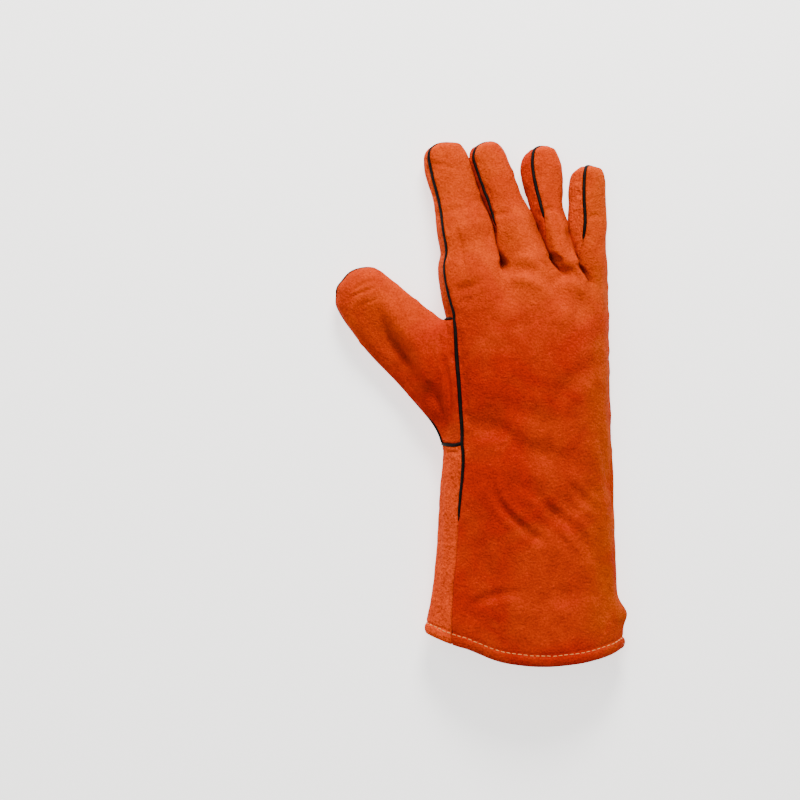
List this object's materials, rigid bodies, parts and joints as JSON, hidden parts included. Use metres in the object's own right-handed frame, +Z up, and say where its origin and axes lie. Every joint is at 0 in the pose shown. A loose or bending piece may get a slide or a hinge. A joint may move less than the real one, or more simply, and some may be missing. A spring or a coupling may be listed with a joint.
{
  "type": "welding gauntlet",
  "caption": "Right-hand welding gauntlet of orange split cowhide with black piped seams and a long flared cuff, lying palm down.",
  "frame": {"origin": "on the surface the palm rests on, under the middle of the palm", "axes": "+X to the little finger's side, +Y to the fingertips, +Z up out of the back of the hand"},
  "size_m": [0.2252, 0.403, 0.0484],
  "materials": {
    "suede_back": "matt split suede with a short nap, dyed orange",
    "suede_palm": "matt, coarser split suede, dyed a deeper orange",
    "piping": "black coated leather cord with a soft sheen",
    "thread": "pale waxed sewing thread"
  },
  "bodies": {
    "root": {"back_panel": "suede_back", "thumb_back": "suede_back", "palm_panel": "suede_palm", "middle_front": "suede_palm", "ring_front": "suede_palm", "cuff_front": "suede_palm", "index_welt": "piping", "middle_welt": "piping", "ring_welt": "piping", "little_welt": "piping", "thumb_welt": "piping", "cross_welt": "piping", "finger_base_welt": "piping"}
  },
  "joints": []
}
